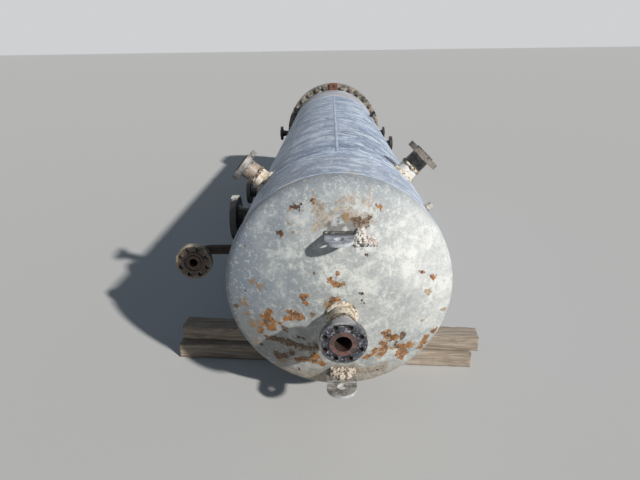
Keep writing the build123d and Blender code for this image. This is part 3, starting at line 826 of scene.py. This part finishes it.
def shell_normal(place):
    return Vector((place.x, 0, place.z - AXIS_Z)).normalized()


def land_on_shell(start, direction):
    """Where a line along a nozzle meets the outside of the shell."""
    x, z = start.x, start.z - AXIS_Z
    a = direction.x ** 2 + direction.z ** 2
    b = x * direction.x + z * direction.z
    c = x * x + z * z - SHELL_R ** 2
    return start + direction * ((-b + sqrt(b * b - a * c)) / a)


def land_on_head(start, direction):
    """Where a line along the head nozzle meets the outside of the crown."""
    offset = start - CROWN_CENTRE
    b = offset.dot(direction)
    c = offset.length_squared - CROWN_R ** 2
    return start + direction * (-b + sqrt(b * b - c))


def corner_line(centre, axis, radius, step, land=land_on_shell, normal=shell_normal):
    """Line where a round neck meets the vessel, with the directions out of the corner."""
    circle, radial = ring_line(centre, axis, radius, step)
    path = [land(place, axis) for place in circle]
    return path, [(out + normal(place)).normalized() for place, out in zip(path, radial)]


def neck_line(mount, axis, radius):
    """Line where a nozzle's neck meets the head or the shell."""
    if mount["name"] == "head_nozzle":
        return corner_line(CROWN_CENTRE, axis, radius, ROOT_STEP, land_on_head, head_normal)
    face = Vector(mount["pos_m"])
    return corner_line(face - axis * (face - on_axis(face.y)).dot(axis), axis, radius, ROOT_STEP)


def girth_seam(node, y, seed):
    """Rippled bead right round the shell."""
    line = ring_line(on_axis(y), ALONG, SHELL_R - BEAD_SUNK, BEAD_STEP)
    bead_piece(node.replace("weld", "bead"), line, GIRTH_BEAD, seed, "bead", "weld_bead", node)


def long_seam():
    """Rippled bead along the top of the long course."""
    low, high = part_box("long_seam_weld")
    count = round((high[1] - low[1]) / BEAD_STEP)
    path = [Vector((0, y, AXIS_Z + SHELL_R - BEAD_SUNK)) for y in spaced(low[1], high[1], count)]
    bead_piece("long_seam_bead", (path, [UP] * count), LONG_BEAD, 4.0, "bead", "weld_bead",
               "long_seam_weld", closed=False)


def nozzle_welds(mount_name, seed):
    """Welds where a neck meets the vessel and where its flange's hub meets the neck."""
    name, *others, hub_radius, neck_radius, length = NOZZLES[mount_name]
    mount = mounts[mount_name]
    axis = Vector(mount["axis"]).normalized()
    shoulder = mount_name in SHOULDERS
    rough = shoulder or mount_name == "head_nozzle"
    slot = "rusted_elbow" if mount_name == "elbow_nozzle" else "weathered_nozzle"
    if mount_name != "elbow_nozzle":
        bead = 0.2 * neck_radius + 0.002
        sizes = ROUGH_ROOT if rough else (bead, bead, NECK_RIPPLE)
        bead_piece(f"{name}_root_weld", neck_line(mount, axis, neck_radius), sizes, seed + 10.0,
                   "pale_weld" if rough else "root_weld", slot, unevenness=0.14 if rough else 0.3)
    joint = Vector(mount["pos_m"]) - axis * (length - FACE_HEIGHT)
    line = ring_line(joint, axis, max(hub_radius, neck_radius) - JOINT_SUNK, BEAD_STEP)
    look = "right_joint" if mount_name == "right_shoulder_nozzle" else "root_weld"
    bead_piece(f"{name}_joint_weld", line, SHOULDER_JOINT if shoulder else NARROW_JOINT, seed + 30.0,
               look, slot, unevenness=0.5)


def elbow_root_weld():
    """Weld where the elbow's pipe leaves the shell."""
    low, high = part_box("elbow_pipe")
    radius = (high[2] - low[2]) / 2
    centre = Vector((0, high[1] - radius, (high[2] + low[2]) / 2))
    bead_piece("elbow_root_weld", corner_line(centre, LEFT, radius, ROOT_STEP), ELBOW_ROOT, 55.0,
               "root_weld", "rusted_elbow", unevenness=0.3)


def fitting_weld(node, seed):
    """Small weld round a screwed fitting on the shell's upper right."""
    low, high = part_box(node)
    centre = (Vector(low) + Vector(high)) / 2
    radius = (high[1] - low[1]) / 2
    line = corner_line(on_axis(centre.y), shell_normal(centre), radius, FITTING_STEP)
    bead_piece(f"{node}_root_weld", line, FITTING_ROOT, seed, "root_weld", "weathered_nozzle",
               unevenness=0.3)


def lug_welds(node, seed):
    """Fillet welds along both faces of a lug, where it meets the head."""
    low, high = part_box(node)
    count = round((high[0] - low[0]) / BEAD_STEP)
    welds = []
    for z, way in ((low[2], -1), (high[2], 1)):
        path = [head_surface(x, z) for x in spaced(low[0], high[0], count)]
        out = Vector((0, -1, 1.2 * way)).normalized()
        welds.append(bead_shape(path, [out] * count, LUG_FILLET, seed + way, False, 0.35))
    look = "pale_weld" if node == "bottom_lug" else "lug_weld"
    make_piece(f"{node}_weld", *piled(welds), look, "coated_lug")


def nut_shape(near_y, turned):
    """Hexagon nut with chamfered corners, standing along the vessel."""
    rings = [[], [], [], []]
    for side in range(NUT_SIDES):
        turn = 2 * pi * side / NUT_SIDES
        hexagon_r = NUT_FLAT_R / cos((turn + pi / 6) % (pi / 3) - pi / 6)
        drop = max(0.0004, (hexagon_r - NUT_TOP_R) * NUT_CHAMFER)
        profile = ((NUT_TOP_R, 0), (hexagon_r, drop), (hexagon_r, NUT_HEIGHT - drop),
                   (NUT_TOP_R, NUT_HEIGHT))
        for ring, (radius, y) in zip(rings, profile):
            ring.append(Vector((radius * cos(turn + turned), near_y + y, radius * sin(turn + turned))))
    return sum(rings, []), tube_faces(len(rings), NUT_SIDES)


def stud_shape(near_y, far_y, near_thread, far_thread):
    """Stud with a helical thread on both ends, plain between them."""
    stations = []
    for start, end in ((near_y, near_y + near_thread), (far_y - far_thread, far_y)):
        count = round((end - start) / THREAD_PITCH * THREAD_STEPS)
        stations.extend((start + (end - start) * index / count, index < count)
                        for index in range(count + 1))
    points = []
    for y, threaded in stations:
        for side in range(STUD_SIDES):
            turn = 2 * pi * side / STUD_SIDES
            wave = abs(2 * ((y / THREAD_PITCH + side / STUD_SIDES) % 1) - 1)
            radius = STUD_R - (THREAD_DEPTH * wave if threaded else 0)
            if y in (near_y, far_y):
                radius = STUD_R - THREAD_DEPTH
            points.append(Vector((radius * cos(turn), y, radius * sin(turn))))
    return points, tube_faces(len(stations), STUD_SIDES)


def closure_bolting():
    """Studs and nuts round the closure, each nut turned as it came to rest."""
    chance = Random(7)
    shapes = []
    for place in range(1, STUD_PLACES):
        angle = pi / 2 + 2 * pi * place / STUD_PLACES
        centre = Vector((STUD_CIRCLE_R * cos(angle), 0, AXIS_Z + STUD_CIRCLE_R * sin(angle)))
        near_out = NUT_HEIGHT + chance.uniform(0.005, 0.011)
        far_out = NUT_HEIGHT + chance.uniform(0.006, 0.012)
        stack = (nut_shape(CLOSURE_NEAR_Y - NUT_HEIGHT, chance.uniform(0, pi)),
                 nut_shape(CLOSURE_FAR_Y, chance.uniform(0, pi)),
                 stud_shape(CLOSURE_NEAR_Y - near_out, CLOSURE_FAR_Y + far_out, near_out, far_out))
        shapes += [([centre + point for point in points], faces) for points, faces in stack]
    piece = make_piece("closure_bolting", *piled(shapes), "bolting", "closure_bolting", "closure_studs")
    piece.data.set_sharp_from_angle(angle=radians(SHARP_FROM))


def lumpy_mesh(node, name, seed):
    """Mesh of a deposit with many small round lumps strewn over it."""
    chance = Random(seed)
    grown = bmesh.new()
    grown.from_mesh(frame["nodes"][node].data)
    bmesh.ops.remove_doubles(grown, verts=grown.verts[:], dist=0.00002)
    spots = [(face.calc_center_median(), face.normal.copy()) for face in grown.faces]
    areas = [face.calc_area() for face in grown.faces]
    for centre, normal in chance.choices(spots, weights=areas, k=CRUST_LUMPS):
        radius = LEAST_LUMP_R + LUMP_R_SPREAD * chance.random() ** 2
        place = centre + normal * (0.1 * radius)
        place += Vector([chance.uniform(-LUMP_STRAY, LUMP_STRAY) for part in range(3)])
        bmesh.ops.create_icosphere(grown, subdivisions=2, radius=radius,
                                   matrix=Matrix.Translation(place))
    mesh = bpy.data.meshes.new(name)
    grown.to_mesh(mesh)
    grown.free()
    return mesh


def crust_piece(node, look, seed):
    """Lumpy deposit, made one skin by a voxel remesh and roughened."""
    name = f"{node}_lumps"
    piece = new_object(name, lumpy_mesh(node, name, seed))
    remesh = piece.modifiers.new("skin", "REMESH")
    remesh.mode = "VOXEL"
    remesh.voxel_size = CRUST_VOXEL
    skin = bpy.data.meshes.new_from_object(piece.evaluated_get(bpy.context.evaluated_depsgraph_get()))
    piece.modifiers.clear()
    piece.data = skin
    for point in skin.vertices:
        push = 0.0022 * noise.noise(point.co * 190) + 0.0012 * noise.noise(point.co * 420)
        point.co += point.normal * push
    set_piece(piece, look, "crust", node)


def bedded(place):
    """Height of a timber's top kept under the shell and its seam."""
    if abs(place.x) >= SHELL_R:
        return place
    near_seam = min(abs(place.y - COURSE_SEAM_Y), abs(place.y - FAR_SEAM_Y)) < SEAM_HALF_WIDTH
    radius = SHELL_R + (SEAM_CLEARANCE if near_seam else BED_CLEARANCE)
    limit = AXIS_Z - sqrt(radius ** 2 - place.x ** 2)
    return Vector((place.x, place.y, min(place.z, limit)))


def timber_outline():
    """Places round a sawn timber's section, with slightly rounded edges."""
    outline = []
    for index in range(SECTION_POINTS):
        turn = 2 * pi * index / SECTION_POINTS
        across, up = cos(turn), sin(turn)
        reach = (abs(across) ** EDGE_POWER + abs(up) ** EDGE_POWER) ** (-1 / EDGE_POWER)
        outline.append((across * reach * BEARER_DEPTH / 2, up * reach * BEARER_HEIGHT / 2))
    return outline


def timber_push(along_x, index, across, up, splits, seed):
    """How far a timber's surface stands out from its outline: grain, worn edges and splits."""
    grain = noise.noise(Vector((along_x * 2.2, index * 0.55 + seed, 0.0)))
    warp = noise.noise(Vector((along_x * 3.0, across * 9, up * 9 + seed)))
    corner = max(0.0, abs(across) / (BEARER_DEPTH / 2) + abs(up) / (BEARER_HEIGHT / 2) - 1.72)
    chips = max(0.0, noise.noise(Vector((along_x * 16, seed, index * 0.06))) + 0.1)
    push = 0.0009 * grain - 0.0012 * abs(warp) - corner * (0.010 + 0.030 * chips)
    half = SECTION_POINTS / 2
    for middle, start, length, depth in splits:
        wander = 2.5 * noise.noise(Vector((along_x * 5, seed, middle)))
        away = abs((index - middle + wander + half) % SECTION_POINTS - half)
        if start < along_x < start + length and away < 1.2:
            fade = min(1.0, (along_x - start) / 0.05, (start + length - along_x) / 0.05)
            push -= depth * (1.2 - away) * fade
    return push


def timber_side(section, length, seed):
    """Rings of places along a timber, open in its grain and split."""
    chance = Random(seed)
    splits = [(chance.uniform(0, SECTION_POINTS), chance.uniform(-0.9, 0.2), chance.uniform(0.2, 0.7),
               chance.uniform(0.003, 0.006)) for split in range(TIMBER_SPLITS)]
    places = []
    for station in range(TIMBER_STATIONS + 1):
        along_x = (length - END_DEPTH) * (station / TIMBER_STATIONS - 0.5)
        for index, (across, up) in enumerate(section):
            out = Vector((0, across / BEARER_DEPTH, up / BEARER_HEIGHT)).normalized()
            push = timber_push(along_x, index, across, up, splits, seed)
            places.append(Vector((along_x, across, up)) + out * push)
    return places


def timber_end(section, way, length, seed):
    """Rings of places that close in over a timber's end, with checks that run from its heart."""
    places = []
    for inward in END_RINGS[::way]:
        for across, up in section:
            angle = atan2(up, across)
            check = noise.noise(Vector((cos(angle) * 3.2, sin(angle) * 3.2, seed + way)))
            rough = noise.noise(Vector((across * inward * 50, up * inward * 50, seed)))
            sunk = 0.0022 * abs(rough) + END_DEPTH * max(0.0, 1 - abs(check) * 16) * inward
            places.append(Vector((way * (length / 2 - sunk), across * inward, up * inward)))
    return places


def timber(node, length, yaw, seed):
    """Weathered bearer, turned on the ground and bedded under the shell."""
    low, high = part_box(node)
    centre = (Vector(low) + Vector(high)) / 2
    turned = Matrix.Rotation(radians(yaw), 3, "Z")
    section = timber_outline()
    places = (timber_end(section, -1, length, seed) + timber_side(section, length, seed)
              + timber_end(section, 1, length, seed))
    points = []
    for place in places:
        laid = turned @ Vector((place.x, place.y, 0))
        height = min(max(place.z + BEARER_HEIGHT / 2, 0.0), BEARER_HEIGHT)
        points.append(bedded(Vector((centre.x + laid.x, centre.y + laid.y, low[2] + height))))
    faces = tube_faces(len(points) // SECTION_POINTS, SECTION_POINTS)
    make_piece(f"{node}_timber", points, faces, "timber", "bearer_timber", node)


# Tones of the nozzle flanges, dark, middle and pale
BLACKENED = ((24, 26, 31), (62, 65, 73), (156, 158, 164))
# Dark steel, darkened further as painted shade for the small flanges
SHADED_SMALL_DARK = ((12, 13, 15), (24, 25, 28), (60, 62, 64))
LEFT_PALE = ((62, 60, 60), (124, 119, 114), (184, 178, 170))
RIGHT_PALE = ((56, 58, 64), (122, 116, 110), (172, 164, 154))
ELBOW_BROWN = ((40, 34, 30), (84, 70, 60), (132, 118, 102))
PINK_FACE = (RUST_PINK, (66, 52, 50))
DARK_FACE = ((40, 37, 36), (60, 52, 46))
ELBOW_FACE = ((104, 78, 65), (72, 58, 51))


def small_flange(rim, amount_rust, top=SHADED_SMALL_DARK[2]):
    """Tones of a small dark flange, darkened further as painted shade, of its rim and of its topmost
    edge, where light is painted, and how rusty it is.
    """
    return SHADED_SMALL_DARK, DARK_FACE, (rim, SHADED_SMALL_DARK[1], top), amount_rust


# Each nozzle flange's tones, raised face, its rim, hub and topmost edge, where light is painted, and
# how rusty it is
FLANGE_LOOKS = {
    "head_nozzle": (BLACKENED, PINK_FACE, ((98, 99, 104), (180, 176, 172), (150, 150, 152)), 0.10),
    "left_shoulder_nozzle":
        (LEFT_PALE, PINK_FACE, ((134, 132, 130), (150, 132, 116), (84, 82, 84)), 0.25),
    # The right shoulder's near-black hub is a painted shadow of its flange
    "right_shoulder_nozzle":
        (RIGHT_PALE, PINK_FACE, ((138, 128, 118), (34, 32, 32), (78, 80, 90)), 0.30),
    # The left outlet's pale topmost edge is a painted highlight where the sun catches its rim
    "left_outlet": small_flange((22, 23, 26), 0.15, (196, 194, 188)),
    "left_branch": small_flange((22, 23, 26), 0.15),
    "far_left_nozzle": small_flange((28, 29, 32), 0.10),
    "right_branch": small_flange((44, 43, 40), 0.20),
    "far_right_nozzle": small_flange((28, 29, 32), 0.10),
    "elbow_nozzle": (ELBOW_BROWN, ELBOW_FACE, ((136, 124, 106), (52, 44, 36), (176, 166, 148)), 0.55),
}

# Paint and second tone of a nozzle's neck, and where its dirt and its rust begin
DARK_NECK = (STEEL_DARK, NEARLY_BLACK, 0.54, 0.60)
NECK_LOOKS = {
    "head_nozzle": ((198, 191, 176), (164, 148, 124), 0.54, 0.50),
    "left_shoulder_nozzle": ((206, 200, 188), (170, 156, 138), 0.56, 0.58),
    "right_shoulder_nozzle": ((236, 234, 230), (206, 202, 194), 0.60, 0.64),
    "right_branch": (STEEL_MIDDLE, STEEL_DARK, 0.54, 0.60),
}

# Two tones of each lug's paint, and the tone of its root
LUG_LOOKS = {
    "top_lug": ((118, 124, 136), (158, 164, 176), (52, 50, 54)),
    "bottom_lug": ((88, 84, 82), (142, 138, 134), (150, 140, 126)),
}


def dress_nozzle(mount_name):
    name, *sizes = NOZZLES[mount_name]
    steel = flange_finish(f"{name}_flange_steel", mounts[mount_name], sizes[:3],
                          *FLANGE_LOOKS[mount_name])
    dress(steel, f"{name}_flange")
    if mount_name != "elbow_nozzle":
        tones = NECK_LOOKS.get(mount_name, DARK_NECK)
        dress(neck_finish(f"{name}_neck_paint", *tones), f"{name}_neck")


def dress_nodes():
    """Give every visible node of the frame its finish."""
    dress(head_finish(), "near_head")
    dress(shell_finish(), "first_course", "long_course")
    dress(hub_finish(), "far_course")
    dress(forging_finish(), "body_flange", "closure_cover")
    dress(gasket_finish(), "closure_gasket")
    dress(rust_finish("rusted_lug_plate", (118, 70, 54), (82, 52, 42)), "closure_lug")
    for lug, tones in LUG_LOOKS.items():
        dress(lug_finish(f"{lug}_paint", *tones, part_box(lug)[1]), lug)
    for mount_name in NOZZLES:
        dress_nozzle(mount_name)
    dress(rust_finish("rusted_elbow_pipe", (56, 46, 36), (30, 28, 26)), "elbow_pipe")
    dress(plain_steel_finish("coupling_paint", LEFT_PALE[1:] + (CHALK,), 0.1), "side_coupling")
    dress(plain_steel_finish("nipple_steel", SHADED_SMALL_DARK, 0.4), "far_nipple")


def make_camera():
    data = bpy.data.cameras.new("camera")
    data.sensor_width = SENSOR_WIDTH
    data.lens = CAMERA_LENS
    data.clip_end = CAMERA_REACH
    camera = new_object("camera", data)
    camera.matrix_world = (Matrix.Translation(CAMERA_PLACE)
                           @ Matrix.Rotation(radians(CAMERA_YAW), 4, "Z")
                           @ Matrix.Rotation(pi / 2 - radians(CAMERA_TILT), 4, "X")
                           @ Matrix.Rotation(radians(CAMERA_ROLL), 4, "Z"))
    scene.camera = camera


def make_sun():
    data = bpy.data.lights.new("sun", "SUN")
    data.energy = SUN_STRENGTH
    data.color = SUN_COLOUR
    data.angle = radians(SUN_SPREAD)
    sun = new_object("sun", data)
    sun.rotation_mode = "QUATERNION"
    sun.rotation_quaternion = Vector(SUN_TRAVEL).to_track_quat("-Z", "Y")


def make_sky():
    """Cool fill light, with a plain pale background where the sky itself is seen."""
    world = bpy.data.worlds.new("sky")
    scene.world = world
    world.use_nodes = True
    tree = world.node_tree
    fill = tree.nodes["Background"]
    fill_inputs(tree, fill, {"Color": (*SKY_COLOUR, 1.0), "Strength": SKY_STRENGTH})
    rays = add_node(tree, "LightPath", {}).outputs
    seen = add_node(tree, "Math", {0: rays["Is Camera Ray"], 1: rays["Is Glossy Ray"]},
                    operation="ADD", use_clamp=True)
    backdrop = add_node(tree, "Background", {"Color": (*BACKGROUND_COLOUR, 1.0)})
    shaders = {0: seen.outputs[0], 1: fill.outputs[0], 2: backdrop.outputs[0]}
    choice = add_node(tree, "MixShader", shaders)
    fill_inputs(tree, tree.nodes["World Output"], {"Surface": choice.outputs[0]})


def make_floor():
    """Plain pale floor, wide enough that its edge lies on the horizon."""
    turns = [2 * pi * index / FLOOR_CORNERS for index in range(FLOOR_CORNERS)]
    points = [(FLOOR_RADIUS * cos(turn), FLOOR_RADIUS * sin(turn), 0) for turn in turns]
    mesh = bpy.data.meshes.new("floor")
    mesh.from_pydata(points, [], [tuple(range(FLOOR_CORNERS))])
    material = bpy.data.materials.new("floor")
    material.use_nodes = True
    tree = material.node_tree
    fill_inputs(tree, tree.nodes["Principled BSDF"],
                {"Base Color": (*FLOOR_COLOUR, 1.0), "Roughness": 0.9})
    mesh.materials.append(material)
    new_object("floor", mesh)


# Finishes of the pieces
FINISHES = {
    "bead": bead_finish(),
    "root_weld": root_weld_finish("weld_rough_dark", GRIME, (128, 112, 92), 0.54, CREAM),
    "pale_weld": root_weld_finish("weld_rough_pale", GRIME, TAN, 0.42, (200, 194, 182)),
    "right_joint": root_weld_finish("weld_rough_beige", GRIME, TAN, 0.50, CREAM),
    "lug_weld": root_weld_finish("weld_rough_grimy", (44, 41, 40), (88, 84, 80), 0.58, STEEL_PALE),
    "bolting": bolting_finish(),
    "crust": crust_finish("crust_lumps", (152, 146, 140), (204, 201, 197)),
    "bottom_crust": crust_finish("crust_lumps_bottom", (150, 138, 122), (184, 174, 162)),
    "timber": timber_finish(),
}
dress_nodes()

girth_seam("head_seam_weld", HEAD_SEAM_Y, 1.0)
girth_seam("course_seam_weld", COURSE_SEAM_Y, 2.0)
girth_seam("far_seam_weld", FAR_SEAM_Y, 3.0)
long_seam()
for order, mount_name in enumerate(NOZZLES):
    nozzle_welds(mount_name, order)
elbow_root_weld()
fitting_weld("side_coupling", 61.0)
fitting_weld("far_nipple", 63.0)
lug_welds("top_lug", 71.0)
lug_welds("bottom_lug", 75.0)
closure_bolting()
crust_piece("top_crust", "crust", 5)
crust_piece("bottom_crust", "bottom_crust", 6)
timber("front_lower_bearer", LOWER_LENGTH, LOWER_YAW, 11)
timber("front_upper_bearer", UPPER_LENGTH, UPPER_YAW, 12)
timber("rear_lower_bearer", LOWER_LENGTH, 0.0, 13)
timber("rear_upper_bearer", UPPER_LENGTH, 0.0, 14)

make_camera()
make_sun()
make_sky()
make_floor()
scene.view_settings.view_transform = "Standard"
